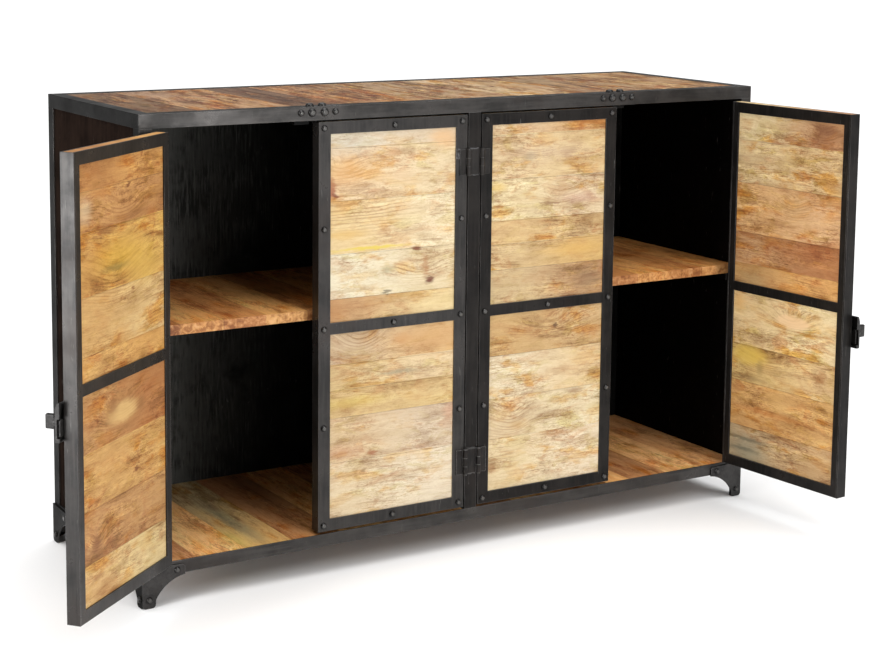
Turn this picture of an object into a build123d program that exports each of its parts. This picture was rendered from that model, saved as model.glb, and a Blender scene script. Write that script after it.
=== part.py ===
"""Sideboard with an angle-iron carcass, a plank top and four framed plank doors.

Millimetres, +Z up. The cabinet's front faces -Y. Its outer doors stand open at rest.
"""

import os
from math import cos, radians, sin

from build123d import *

os.makedirs("parts", exist_ok=True)

# Overall size of the cabinet, without doors swung out
width = 1400
depth = 450
height = 900

# Middle of the cabinet, seen from the middle of the object as it stands with two doors open
cabinet_x = 111.5
cabinet_y = 169.2

# Carcass
iron = 3
sheet = 1.5
leg_height = 56
bottom_rail = 24
top_rail = 26
top_flange = 26
bottom_flange = 25
panel_margin = 1
post_width = 25
weld_gap = 0.2
mullion_width = 28
mullion_wall = 2
partition_sheet = 2
board = 20
seam = 0.4
top_plank_count = 14
floor_board_count = 14
bearer_width = 30
bearer_depth = 5
bearer_offset = 135
shelf_top = 510
shelf_thickness = 19
shelf_setback = 35
cleat = 20
cleat_thickness = 2
cleat_setback = 20

# Feet
foot_reach = 84
foot_width = 26
foot_end_low = 54
foot_end_high = 73
foot_corner_high = 77
foot_plate = 3
foot_arc_out = 47
foot_arc_up = 39
foot_step = 4
toe_round = 7
toe_height = 14
toe_reach = 24
foot_rivet_far = 68
foot_rivet_high = 64
foot_rivet_low = 16

# Doors
door_gap = 3
door_thickness = 25
door_low = 85
door_high = 870
door_iron = 3
front_stile = 25
front_rail = 23
front_mid_rail = 22
back_stile = 18
back_rail = 22
back_mid_rail = 20
left_door_open = 141
right_door_open = 95

# Heights of the planks as shares of their panel, from the bottom up
left_door_planks = ((0.233, 0.23, 0.25, 0.287), (0.13, 0.25, 0.27, 0.175, 0.175))
centre_left_planks = ((0.33, 0.223, 0.137, 0.125, 0.185), (0.14, 0.215, 0.26, 0.255, 0.13))
centre_right_planks = ((0.325, 0.212, 0.22, 0.243), (0.2, 0.13, 0.12, 0.21, 0.225, 0.115))
right_door_planks = ((0.234, 0.25, 0.2, 0.316), (0.13, 0.17, 0.27, 0.23, 0.2))

# Rivets
rivet_head = 6.2
rivet_rise = 4
rivet_shank = 1.6
rivet_grip = 12
rivet_inset = 11.5
rivet_round = 0.85

# Hinges
pin_radius = 2
bore_radius = 2.05
knuckle_radius = 4.5
pin_stand = 4.8
leaf_thickness = 2
leaf_reach = 19
leaf_height = 50
knuckle_clearance = 0.3
hinge_spread = 300
pin_head = 3.4
pin_head_height = 1.6

# Latches on the outer doors
latch_drop = 441
case_height = 66
case_width = 34
case_depth = 9
case_wall = 2.5
case_overhang = 14
case_slope = 9
case_nose = 1.5
case_bevel = 1
blade_width = 25
blade_thickness = 9
blade_round = 2.5
knob_length = 20
neck_radius = 8
neck_length = 4
spindle_radius = 5
spindle_hole = 5.05
spindle_reach = 5
rim_lift = 0.8
cam_thickness = 3
cam_width = 10
cam_length = 24
cam_lift = 1.2
knob_round = 1.5
slot_start = 4
slot_margin = 1

# Catches behind the top rail
catch_length = 96
catch_plate = 2.5
catch_depth = 38
magnet_length = 30
magnet_height = 8
magnet_gap = 0.5
magnet_thickness = 12
magnet_inset = 6
catch_rivet_near = 13
catch_rivet_far = 36
catch_rivet_head = 8
catch_rivet_small = 6.4
catch_rivet_rise = 5.5
catch_rivet_drop = 11
catch_rivet_back = 10
flange_margin = 1

half_width = width / 2
half_depth = depth / 2
rail_low = leg_height
rail_high = leg_height + bottom_rail
head_low = height - top_rail
floor_low = leg_height + iron
floor_high = floor_low + board
front = -half_depth
opening = half_width - post_width - mullion_width / 2
door_width = (opening - 3 * door_gap) / 2
door_middle = (door_low + door_high) / 2
inner_x = half_width - iron - sheet
inner_back = half_depth - iron - sheet
panel_low = rail_low + iron + panel_margin
panel_high = height - iron - panel_margin
post_pin_x = half_width - post_width - door_gap / 2
mullion_pin_x = mullion_width / 2 + door_gap / 2
meeting_x = half_width - post_width - door_gap - door_width - door_gap / 2

ground = Plane((cabinet_x, cabinet_y, 0))


def save(builder, name):
    """Label a finished piece and write its file."""
    builder.part.label = name
    export_step(builder.part, f"parts/{name}.step")


def blocks(name, frame, boxes):
    """Square-cornered bars and boards: (x0, x1, y0, y1, z0, z1) each, in the frame given."""
    with BuildPart() as piece:
        for x0, x1, y0, y1, z0, z1 in boxes:
            with BuildSketch(frame.offset(z0)):
                with Locations(((x0 + x1) / 2, (y0 + y1) / 2)):
                    Rectangle(abs(x1 - x0), abs(y1 - y0))
            extrude(amount=z1 - z0)
    save(piece, name)


def mirrored(boxes):
    """The same boxes on the other side of the cabinet."""
    return [(-x1, -x0, y0, y1, z0, z1) for x0, x1, y0, y1, z0, z1 in boxes]


def angle_ring(name, low, high, flange_low, flange):
    """Four lengths of angle iron, coped and welded into a ring."""
    flange_high = flange_low + iron
    bars = []
    for side in (-1, 1):
        y_out = side * half_depth
        bars.append((-half_width, half_width, y_out, y_out - side * iron, low, high))
        bars.append((-half_width, half_width, y_out, y_out - side * flange, flange_low, flange_high))
    long_wall = half_depth - iron - weld_gap
    long_flange = half_depth - flange - weld_gap
    for side in (-1, 1):
        x_out = side * half_width
        bars.append((x_out, x_out - side * iron, -long_wall, long_wall, low, high))
        bars.append((x_out, x_out - side * flange, -long_flange, long_flange, flange_low, flange_high))
    blocks(name, ground, bars)


def facing(x, y, z, x_dir):
    """An upright plane whose own y runs up the object."""
    return Plane(
        (cabinet_x + x, cabinet_y + y, z),
        x_dir=(x_dir[0], x_dir[1], 0),
        z_dir=(x_dir[1], -x_dir[0], 0),
    )


# ---- Carcass ----

angle_ring("top_frame", head_low, height, height - iron, top_flange)
angle_ring("bottom_frame", rail_low, rail_high, rail_low, bottom_flange)

for post_name, sx, sy in (
    ("front_left_post", -1, -1),
    ("front_right_post", 1, -1),
    ("back_left_post", -1, 1),
    ("back_right_post", 1, 1),
):
    x_out = sx * half_width
    y_out = sy * half_depth
    blocks(
        post_name,
        ground,
        [
            (x_out, x_out - sx * post_width, y_out, y_out - sy * iron, rail_high, head_low),
            (x_out, x_out - sx * iron, y_out, y_out - sy * post_width, rail_high, head_low),
        ],
    )

side_sheet = [
    (
        -half_width + iron,
        -inner_x,
        front + iron + weld_gap,
        half_depth - iron - weld_gap,
        panel_low,
        panel_high,
    )
]
blocks("left_side_panel", ground, side_sheet)
blocks("right_side_panel", ground, mirrored(side_sheet))
blocks(
    "back_panel",
    ground,
    [(-inner_x, inner_x, inner_back, half_depth - iron, panel_low, panel_high)],
)

top_half = half_width - top_flange - weld_gap
top_pitch = 2 * top_half / top_plank_count
top_reach = half_depth - top_flange - weld_gap
top_low = height - board
blocks(
    "top_planks",
    ground,
    [
        (
            -top_half + n * top_pitch + seam / 2,
            -top_half + (n + 1) * top_pitch - seam / 2,
            -top_reach,
            top_reach,
            top_low,
            height - seam,
        )
        for n in range(top_plank_count)
    ],
)
bearer_high = top_low
bearer_low = top_low - bearer_depth
blocks(
    "top_bearers",
    ground,
    [
        (
            -inner_x,
            inner_x,
            y - bearer_width / 2,
            y + bearer_width / 2,
            bearer_low,
            bearer_high,
        )
        for y in (-bearer_offset, bearer_offset)
    ],
)

floor_half = inner_x - weld_gap
floor_pitch = 2 * floor_half / floor_board_count
blocks(
    "floor_boards",
    ground,
    [
        (
            -floor_half + n * floor_pitch + seam / 2,
            -floor_half + (n + 1) * floor_pitch - seam / 2,
            front + iron + weld_gap,
            inner_back - weld_gap,
            floor_low,
            floor_high,
        )
        for n in range(floor_board_count)
    ],
)

with BuildPart() as centre_mullion:
    with BuildSketch(ground.offset(rail_high)):
        with Locations((0, front + post_width / 2)):
            Rectangle(mullion_width, post_width)
            Rectangle(
                mullion_width - 2 * mullion_wall,
                post_width - 2 * mullion_wall,
                mode=Mode.SUBTRACT,
            )
    extrude(amount=head_low - rail_high)
save(centre_mullion, "centre_mullion")

partition_front = front + post_width + weld_gap
blocks(
    "centre_partition",
    ground,
    [
        (
            -partition_sheet / 2,
            partition_sheet / 2,
            partition_front,
            inner_back - weld_gap,
            floor_high,
            bearer_low,
        )
    ],
)

shelf_low = shelf_top - shelf_thickness
shelf_front = front + shelf_setback
left_shelf = [
    (
        -inner_x + weld_gap,
        -partition_sheet / 2 - weld_gap,
        shelf_front,
        inner_back - weld_gap,
        shelf_low,
        shelf_top,
    )
]
blocks("left_shelf", ground, left_shelf)
blocks("right_shelf", ground, mirrored(left_shelf))

cleat_front = shelf_front + cleat_setback
cleat_back = inner_back - cleat_setback
cleat_boxes = []
for wall_x, inward in (
    (-inner_x, 1),
    (-partition_sheet / 2, -1),
    (partition_sheet / 2, 1),
    (inner_x, -1),
):
    upright_x = wall_x + inward * cleat_thickness
    cleat_boxes.append((wall_x, upright_x, cleat_front, cleat_back, shelf_low - cleat, shelf_low))
    cleat_boxes.append(
        (
            wall_x,
            wall_x + inward * cleat,
            cleat_front,
            cleat_back,
            shelf_low - cleat_thickness,
            shelf_low,
        )
    )
blocks("shelf_cleats", ground, cleat_boxes)

# ---- Rivets ----


def rivet(head, rise, shank, grip):
    """One domed rivet, standing on the plane its head rests on."""
    with BuildPart() as fastener:
        with BuildSketch():
            Circle(head)
        extrude(amount=rise)
        fillet(fastener.edges().group_by(Axis.Z)[-1], rivet_round * rise)
        with BuildSketch():
            Circle(shank)
        extrude(amount=-grip)
    return fastener.part


def rivets(name, settings):
    """Domed rivets: (point, outward, head radius, rise, shank radius, grip) each."""
    placed = [
        Plane(point, z_dir=outward).location * rivet(*sizes) for point, outward, *sizes in settings
    ]
    with BuildPart() as piece:
        add(placed)
    save(piece, name)


# ---- Feet ----


def foot_cheek():
    """One cheek of a cast foot: a short leg that sweeps out under the rail."""
    with BuildSketch() as outline:
        with BuildLine():
            Polyline(
                (foot_width, 0),
                (0, 0),
                (0, foot_corner_high),
                (foot_reach - foot_step, foot_end_high),
                (foot_reach, foot_end_high - foot_step),
                (foot_reach, foot_end_low),
            )
            ThreePointArc(
                (foot_reach, foot_end_low),
                (foot_arc_out, foot_arc_up),
                (foot_width, toe_height),
            )
            Line((foot_width, toe_height), (foot_width, 0))
        make_face()
        fillet(outline.vertices().group_by(Axis.Y)[0], toe_round)
    return outline.sketch


foot_rivet_settings = []
for foot_name, sx, sy in (
    ("front_left_foot", -1, -1),
    ("front_right_foot", 1, -1),
    ("back_left_foot", -1, 1),
    ("back_right_foot", 1, 1),
):
    x_out = sx * (half_width + foot_plate)
    y_out = sy * (half_depth + foot_plate)
    with BuildPart() as corner_foot:
        with BuildSketch(facing(x_out, y_out, 0, (-sx, 0))):
            add(foot_cheek())
        extrude(amount=-sx * sy * foot_width)
        with BuildSketch(facing(x_out, y_out, 0, (0, -sy))):
            add(foot_cheek())
        extrude(amount=sx * sy * foot_width, mode=Mode.INTERSECT)
        with BuildSketch(ground):
            with Locations((x_out, y_out)):
                Circle(toe_reach)
        extrude(amount=toe_height, mode=Mode.INTERSECT)
        with BuildSketch(facing(x_out, y_out, 0, (-sx, 0))):
            add(foot_cheek())
        extrude(amount=-sx * sy * foot_plate)
        with BuildSketch(facing(x_out, y_out, 0, (0, -sy))):
            add(foot_cheek())
        extrude(amount=sx * sy * foot_plate)
    save(corner_foot, foot_name)
    for reach, up, grip in (
        (foot_rivet_far, foot_rivet_high, foot_plate + iron),
        (foot_width / 2, foot_rivet_low, foot_plate),
    ):
        for point, outward in (
            ((x_out - sx * reach, y_out), (0, sy, 0)),
            ((x_out, y_out - sy * reach), (sx, 0, 0)),
        ):
            at = (cabinet_x + point[0], cabinet_y + point[1], up)
            foot_rivet_settings.append(
                (at, outward, rivet_head, rivet_rise, rivet_shank, grip)
            )
rivets("foot_rivets", foot_rivet_settings)

# ---- Catches behind the top rail, one at each meeting line ----

catch_low = door_high + catch_plate
catch_high = height - iron - weld_gap
catch_back = front + iron + catch_depth
leg_back = front + iron + catch_plate
flange_back = front + top_flange - flange_margin
magnet_front = front + door_thickness + magnet_gap
catch_rivet_z = height - catch_rivet_drop
with BuildPart() as door_catches:
    for middle in (-meeting_x, meeting_x):
        for y0, y1, z0, z1 in (
            (front + iron, leg_back, catch_low, catch_high),
            (leg_back, flange_back, catch_high - catch_plate, catch_high),
            (leg_back, catch_back, catch_low, catch_low + catch_plate),
        ):
            with BuildSketch(ground.offset(z0)):
                with Locations((middle, (y0 + y1) / 2)):
                    Rectangle(catch_length, y1 - y0)
            extrude(amount=z1 - z0)
save(door_catches, "door_catches")

magnet_boxes = []
catch_rivet_settings = []
for middle in (-meeting_x, meeting_x):
    for side in (-1, 1):
        near = middle + side * magnet_inset
        far = near + side * magnet_length
        magnet_boxes.append(
            (
                min(near, far),
                max(near, far),
                magnet_front,
                magnet_front + magnet_thickness,
                catch_low - magnet_height,
                catch_low,
            )
        )
        for reach, head in (
            (catch_rivet_near, catch_rivet_head),
            (catch_rivet_far, catch_rivet_small),
        ):
            at = (cabinet_x + middle + side * reach, cabinet_y + front, catch_rivet_z)
            catch_rivet_settings.append(
                (at, (0, -1, 0), head, catch_rivet_rise, rivet_shank, iron + catch_plate)
            )
        at = (
            cabinet_x + middle + side * catch_rivet_near,
            cabinet_y + front + catch_rivet_back,
            height,
        )
        catch_rivet_settings.append(
            (
                at,
                (0, 0, 1),
                catch_rivet_head,
                catch_rivet_rise,
                rivet_shank,
                iron + catch_plate,
            )
        )
blocks("catch_magnets", ground, magnet_boxes)
rivets("catch_rivets", catch_rivet_settings)

# ---- Hinges fixed to the carcass ----

third = leaf_height / 6
leaf_levels = (door_middle - hinge_spread, door_middle + hinge_spread)
pin_y = front - pin_stand
split = knuckle_clearance / 2


def hinge_leaves(name, frame, pins, ends):
    """Plates with rolled knuckles, each knuckle round one of the pins' axes.

    pins holds (axis x, side the plate lies on). ends is True for the outer two knuckles.
    """
    plate_near = knuckle_radius + 2 * knuckle_clearance
    if ends:
        spans = ((-3 * third, -third - split), (third + split, 3 * third))
    else:
        spans = ((-third + split, third - split),)
    with BuildPart() as piece:
        for level in leaf_levels:
            with BuildSketch(frame.offset(level - leaf_height / 2)):
                for axis_x, side in pins:
                    near = axis_x + side * plate_near
                    far = axis_x + side * leaf_reach if len(pins) == 1 else 0
                    with Locations(((near + far) / 2, pin_stand - leaf_thickness / 2)):
                        Rectangle(abs(far - near), leaf_thickness)
            extrude(amount=leaf_height)
            for low, high in spans:
                with BuildSketch(frame.offset(level + low)):
                    for axis_x, side in pins:
                        reach = axis_x + side * (plate_near + 1)
                        with Locations(((axis_x + reach) / 2, pin_stand - leaf_thickness / 2)):
                            Rectangle(plate_near + 1, leaf_thickness)
                        with Locations((axis_x, 0)):
                            Circle(knuckle_radius)
                            Circle(bore_radius, mode=Mode.SUBTRACT)
                extrude(amount=high - low)
    save(piece, name)


def hinge_line(x):
    """Plane whose origin is on a hinge axis, or level with the hinge axes."""
    return Plane((cabinet_x + x, cabinet_y + pin_y, 0))


hinge_leaves("left_post_hinges", hinge_line(-post_pin_x), ((0, -1),), True)
hinge_leaves("right_post_hinges", hinge_line(post_pin_x), ((0, 1),), True)
hinge_leaves(
    "mullion_hinges",
    hinge_line(0),
    ((-mullion_pin_x, 1), (mullion_pin_x, -1)),
    True,
)

with BuildPart() as hinge_pins:
    for pin_x in (-post_pin_x, -mullion_pin_x, mullion_pin_x, post_pin_x):
        for level in leaf_levels:
            low = level - leaf_height / 2
            with BuildSketch(hinge_line(pin_x).offset(low)):
                Circle(pin_radius)
            extrude(amount=leaf_height)
            for z in (low - pin_head_height, low + leaf_height):
                with BuildSketch(hinge_line(pin_x).offset(z)):
                    Circle(pin_head)
                extrude(amount=pin_head_height)
save(hinge_pins, "hinge_pins")

# ---- Doors ----


def door(name, hinge_x, hand, angle, plank_shares):
    """A plank door. hand is 1 if its hinges are on its left, -1 if on its right."""
    turn = radians(-hand * angle)
    swing = Plane(
        (cabinet_x + hinge_x, cabinet_y + pin_y, 0),
        x_dir=(cos(turn), sin(turn), 0),
        z_dir=(0, 0, 1),
    )
    near = door_gap / 2
    far = near + door_width
    face = pin_stand
    back = pin_stand + door_thickness
    wood_front = face + door_iron
    wood_back = back - door_iron

    def bar(u0, u1, y0, y1, z0, z1):
        return (hand * u0, hand * u1, y0, y1, z0, z1)

    rails = (
        (door_low, door_low + front_rail),
        (door_middle - front_mid_rail / 2, door_middle + front_mid_rail / 2),
        (door_high - front_rail, door_high),
    )
    blocks(
        f"{name}_front_iron",
        swing,
        [
            bar(near, near + door_iron, face, back, door_low, door_high),
            bar(far - door_iron, far, face, back, door_low, door_high),
            bar(near, near + front_stile, face, wood_front, door_low, door_high),
            bar(far - front_stile, far, face, wood_front, door_low, door_high),
        ]
        + [bar(near, far, face, wood_front, z0, z1) for z0, z1 in rails],
    )

    inner_near = near + door_iron + weld_gap
    inner_far = far - door_iron - weld_gap
    rails = (
        (door_low, door_low + back_rail),
        (door_middle - back_mid_rail / 2, door_middle + back_mid_rail / 2),
        (door_high - back_rail, door_high),
    )
    blocks(
        f"{name}_back_iron",
        swing,
        [
            bar(inner_near, near + back_stile, wood_back, back, door_low, door_high),
            bar(far - back_stile, inner_far, wood_back, back, door_low, door_high),
        ]
        + [bar(inner_near, inner_far, wood_back, back, z0, z1) for z0, z1 in rails],
    )

    panel_starts = (door_low, door_middle)
    panel_ends = (door_middle, door_high)
    boards = []
    for start, end, shares in zip(panel_starts, panel_ends, plank_shares):
        edge = start
        for share in shares:
            top = edge + share * (end - start)
            boards.append(
                bar(inner_near, inner_far, wood_front, wood_back, edge + seam / 2, top - seam / 2)
            )
            edge = top
    blocks(f"{name}_planks", swing, boards)

    stiles = (near + rivet_inset, far - rivet_inset)
    ends = (door_low + rivet_inset, door_high - rivet_inset)
    spots = [(u, z) for u in stiles for z in (*ends, door_middle)]
    spots += [((near + far) / 2, z) for z in (*ends, door_middle)]
    spots += [(u, (z + door_middle) / 2) for u in stiles for z in ends]
    settings = []
    for u, z in spots:
        at = swing.from_local_coords(Vector(hand * u, face, z))
        outward = -swing.y_dir
        settings.append(
            (
                (at.X, at.Y, at.Z),
                (outward.X, outward.Y, outward.Z),
                rivet_head,
                rivet_rise,
                rivet_shank,
                rivet_grip,
            )
        )
    rivets(f"{name}_rivets", settings)

    hinge_leaves(f"{name}_hinge_leaves", swing, ((0, hand),), False)
    return swing


def latch(name, swing, hand):
    """A cast box that laps over the neighbouring door, with a turning knob and a cam in it."""
    free = door_gap / 2 + door_width
    level = door_high - latch_drop
    half_case = case_height / 2
    cheek_far = free + case_overhang
    cheek_near = cheek_far - case_width
    left_cheek = min(hand * cheek_near, hand * cheek_far)

    def side_plane(x):
        return Plane(
            swing.from_local_coords(Vector(x, pin_stand, level)),
            x_dir=swing.y_dir,
            z_dir=swing.x_dir,
        )

    with BuildPart() as case:
        for wall, width_inside, how in (
            (0, case_width, Mode.ADD),
            (case_wall, case_width - 2 * case_wall, Mode.SUBTRACT),
        ):
            out = -(case_depth - wall)
            high = half_case - wall
            with BuildSketch(side_plane(left_cheek + wall)):
                with BuildLine():
                    Polyline(
                        (-case_slope / 2, high - case_bevel),
                        (0, high),
                        (0, -high),
                        (out + case_bevel, -high),
                        (out, case_bevel - high),
                        (out, high - 2 * case_slope),
                    )
                    ThreePointArc(
                        (out, high - 2 * case_slope),
                        (out + case_nose, high - case_slope + case_nose / 2),
                        (-case_slope / 2, high - case_bevel),
                    )
                make_face()
            extrude(amount=width_inside, mode=how)
        with BuildSketch(swing.offset(level - half_case)):
            with Locations((hand * (free + case_overhang / 2), pin_stand)):
                Rectangle(case_overhang, 2 * rim_lift)
        extrude(amount=case_height, mode=Mode.SUBTRACT)
        with BuildSketch(swing.offset(level - half_case + case_wall + slot_start)):
            with Locations((hand * (cheek_far - case_wall / 2), pin_stand)):
                Rectangle(2 * case_wall, 2 * (cam_lift + cam_thickness + cam_lift))
        slot_high = case_height / 2 - case_wall - slot_start + cam_width / 2 + slot_margin
        extrude(amount=slot_high, mode=Mode.SUBTRACT)
        with BuildSketch(
            Plane(
                swing.from_local_coords(
                    Vector(hand * (free + spindle_reach), pin_stand - case_depth / 2, level)
                ),
                x_dir=swing.x_dir,
                z_dir=-swing.y_dir,
            )
        ):
            Circle(spindle_hole)
        extrude(amount=case_depth, mode=Mode.SUBTRACT)
    save(case, f"{name}_latch_case")

    def turned(distance):
        """Plane across the spindle, at a distance out from the door's face."""
        return Plane(
            swing.from_local_coords(
                Vector(hand * (free + spindle_reach), pin_stand - distance, level)
            ),
            x_dir=swing.x_dir,
            z_dir=-swing.y_dir,
        )

    knob_base = case_depth + knuckle_clearance
    with BuildPart() as knob:
        with BuildSketch(turned(knob_base)):
            Circle(neck_radius)
        extrude(amount=neck_length)
        with BuildSketch(turned(knob_base + neck_length)):
            RectangleRounded(blade_thickness, blade_width, blade_round)
        extrude(amount=knob_length - neck_length)
        fillet(knob.faces().sort_by(Axis((0, 0, 0), -swing.y_dir))[-1].edges(), knob_round)
    save(knob, f"{name}_latch_knob")

    with BuildPart() as spindle:
        with BuildSketch(turned(cam_lift)):
            Circle(cam_width / 2)
            with Locations((0, -cam_length / 2)):
                Rectangle(cam_width, cam_length)
        extrude(amount=cam_thickness)
        with BuildSketch(turned(cam_lift)):
            Circle(spindle_radius)
        extrude(amount=knob_base - cam_lift)
    save(spindle, f"{name}_latch_spindle")


left_swing = door("left_door", -post_pin_x, 1, left_door_open, left_door_planks)
door("centre_left_door", -mullion_pin_x, -1, 0, centre_left_planks)
door("centre_right_door", mullion_pin_x, 1, 0, centre_right_planks)
right_swing = door("right_door", post_pin_x, -1, right_door_open, right_door_planks)
latch("left_door", left_swing, 1)
latch("right_door", right_swing, -1)
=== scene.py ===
"""Looks of the sideboard: aged iron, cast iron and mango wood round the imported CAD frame.

Metres, +Z up, the cabinet's front towards -Y. A door's own coordinates run along its planks (x),
through its thickness (y) and up (z), from the axis of its hinge pins.
"""

import math

import bmesh
import bpy
from mathutils import Matrix, Vector


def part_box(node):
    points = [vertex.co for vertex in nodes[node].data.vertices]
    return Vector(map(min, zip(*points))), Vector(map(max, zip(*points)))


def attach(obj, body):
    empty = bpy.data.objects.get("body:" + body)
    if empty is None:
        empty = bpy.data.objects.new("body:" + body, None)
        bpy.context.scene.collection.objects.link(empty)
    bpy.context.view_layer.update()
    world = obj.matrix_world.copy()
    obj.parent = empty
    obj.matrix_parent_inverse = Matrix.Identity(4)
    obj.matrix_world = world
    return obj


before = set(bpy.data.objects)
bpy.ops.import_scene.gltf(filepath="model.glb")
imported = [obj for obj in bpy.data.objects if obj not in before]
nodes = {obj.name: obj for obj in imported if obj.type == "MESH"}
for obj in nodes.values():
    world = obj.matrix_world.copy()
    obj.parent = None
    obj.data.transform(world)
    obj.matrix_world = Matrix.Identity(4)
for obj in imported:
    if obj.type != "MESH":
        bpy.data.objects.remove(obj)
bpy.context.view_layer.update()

# ---- Where things are ----

front_left_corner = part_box("front_left_post")[0]
cabinet_left = front_left_corner.x
cabinet_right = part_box("front_right_post")[1].x
front_y = front_left_corner.y
back_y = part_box("back_left_post")[1].y
middle_x = (cabinet_left + cabinet_right) / 2
middle_y = (front_y + back_y) / 2
door_low, door_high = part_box("centre_left_door_front_iron")
door_middle_z = (door_low.z + door_high.z) / 2
pins_low, pins_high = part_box("hinge_pins")
# A pin's axis lies this far inside the box of the pins' heads
pin_head = 0.0034
pin_y = pins_low.y + pin_head
post_pin_left = pins_low.x + pin_head
post_pin_right = pins_high.x - pin_head
mullion_low, mullion_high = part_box("centre_mullion")
door_gap = 0.003
mullion_pin_left = mullion_low.x - door_gap / 2
mullion_pin_right = mullion_high.x + door_gap / 2

# hand is 1 where the door reaches to the right of its pins when shut; turn is how far, in
# degrees, it stands from shut
DOORS = {
    "left_door": {"pin": post_pin_left, "hand": 1, "turn": -141},
    "centre_left_door": {"pin": mullion_pin_left, "hand": -1, "turn": 0},
    "centre_right_door": {"pin": mullion_pin_right, "hand": 1, "turn": 0},
    "right_door": {"pin": post_pin_right, "hand": -1, "turn": 95},
}


# ---- Node helpers ----


def rgb(text, gain=1.0):
    """A colour from its usual six-figure name, in linear light."""
    values = []
    for k in (0, 2, 4):
        c = int(text[k : k + 2], 16) / 255
        linear = c / 12.92 if c <= 0.04045 else ((c + 0.055) / 1.055) ** 2.4
        values.append(min(1.0, linear * gain))
    return (*values, 1.0)


def grey(value):
    return (value, value, value, 1)


class Graph:
    """A material and short calls that add nodes to it."""

    def __init__(self, name):
        self.material = bpy.data.materials.new(name)
        self.material.use_nodes = True
        self.tree = self.material.node_tree
        self.surface = self.tree.nodes["Principled BSDF"]

    def node(self, kind, inputs=(), **properties):
        made = self.tree.nodes.new("ShaderNode" + kind)
        for key, value in properties.items():
            setattr(made, key, value)
        for key, value in dict(inputs).items():
            self.put(made.inputs[key], value)
        return made

    def put(self, socket, value):
        if isinstance(value, bpy.types.NodeSocket):
            self.tree.links.new(value, socket)
        else:
            socket.default_value = value

    def set(self, **values):
        """Sockets of the surface, with _ for a space in their names."""
        for key, value in values.items():
            self.put(self.surface.inputs[key.replace("_", " ")], value)

    def math(self, how, a, b=0.0, c=0.0, clamp=False):
        made = self.node("Math", {0: a, 1: b, 2: c}, operation=how, use_clamp=clamp)
        return made.outputs[0]

    def vector(self, how, a, b=(0, 0, 0)):
        made = self.node("VectorMath", {0: a, 1: b}, operation=how)
        return made.outputs[1 if how in ("LENGTH", "DOT_PRODUCT") else 0]

    def span(self, value, low, high, out_low=0.0, out_high=1.0, smooth=True):
        made = self.node(
            "MapRange",
            {0: value, 1: low, 2: high, 3: out_low, 4: out_high},
            interpolation_type="SMOOTHSTEP" if smooth else "LINEAR",
        )
        return made.outputs[0]

    def mix(self, factor, a, b, blend="MIX"):
        made = self.node("Mix", {0: factor, 6: a, 7: b}, data_type="RGBA", blend_type=blend)
        return made.outputs[2]

    def noise(self, vector, scale=1.0, detail=3.0, roughness=0.55, distortion=0.0):
        made = self.node(
            "TexNoise",
            {
                "Vector": vector,
                "Scale": scale,
                "Detail": detail,
                "Roughness": roughness,
                "Distortion": distortion,
            },
        )
        return made.outputs[0]

    def steps(self, value, stops):
        """A colour for each stretch of value, from (start, colour) stops."""
        made = self.node("ValToRGB", {0: value})
        bar = made.color_ramp
        bar.interpolation = "CONSTANT"
        while len(bar.elements) < len(stops):
            bar.elements.new(0.5)
        for element, (place, colour) in zip(bar.elements, stops):
            element.position = place
            element.color = colour
        return made.outputs[0]

    def join(self, x, y, z):
        return self.node("CombineXYZ", {0: x, 1: y, 2: z}).outputs[0]

    def split(self, vector):
        return self.node("SeparateXYZ", {0: vector}).outputs

    def place(self):
        return self.node("TexCoord").outputs["Object"]

    def bump(self, height, strength, distance, normal=None):
        inputs = {"Height": height, "Strength": strength, "Distance": distance}
        if normal is not None:
            inputs["Normal"] = normal
        return self.node("Bump", inputs).outputs[0]


def door_place(graph, door):
    """Coordinates from the door's hinge axis, along its planks and up."""
    turn = math.radians(door["turn"])
    unturn = Matrix.Rotation(-turn, 3, "Z")
    shift = -(unturn @ Vector((door["pin"], pin_y, 0)))
    mapped = graph.node(
        "Mapping",
        {"Vector": graph.place(), "Location": shift, "Rotation": (0, 0, -turn)},
        vector_type="POINT",
    )
    return mapped.outputs[0]


def boards_place(graph):
    """Coordinates for boards that run front to back: along them, through them, across them."""
    x, y, z = graph.split(graph.place())[:3]
    return graph.join(y, z, x)


def dress(node_name, material):
    """Gives a carried-over piece its only material."""
    slots = nodes[node_name].data.materials
    slots.clear()
    slots.append(material)


# ---- Wood ----

GOLDEN = 0.618
SEED_START = 0.13
SEAM = 0.0010
SEAM_CORE = 0.0002
WANDER = 0.030
WOOD_ROUGH = 0.5

# Each layer of the figure: the noise, where it starts to show and where it is full, how much of
# the colour it then has, the colour and how that colour is laid on
FIGURE = (
    ("broad", 0.52, 0.34, 0.55, "d2bd9e", "MULTIPLY"),
    ("broad", 0.52, 0.68, 0.45, "fff6e6", "SOFT_LIGHT"),
    ("patch", 0.52, 0.64, 0.75, "f6d592", "MULTIPLY"),
    ("patch", 0.48, 0.36, 0.55, "cbbfb4", "MULTIPLY"),
    ("hue", 0.53, 0.64, 0.55, "e6c2aa", "MULTIPLY"),
    ("hue", 0.47, 0.37, 0.60, "dfd8aa", "MULTIPLY"),
    ("curl", 0.54, 0.68, 0.50, "c4a282", "MULTIPLY"),
    ("curl", 0.44, 0.30, 0.40, "f8eed8", "SOFT_LIGHT"),
    ("streaks", 0.47, 0.33, 0.60, "b99c7c", "MULTIPLY"),
    ("streaks", 0.54, 0.70, 0.40, "fff6e6", "SOFT_LIGHT"),
    ("fine", 0.49, 0.36, 0.55, "c0a68c", "MULTIPLY"),
    ("fleck", 0.56, 0.68, 0.50, "b69c80", "MULTIPLY"),
    ("pores", 0.62, 0.70, 0.40, "907252", "MULTIPLY"),
)


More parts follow.
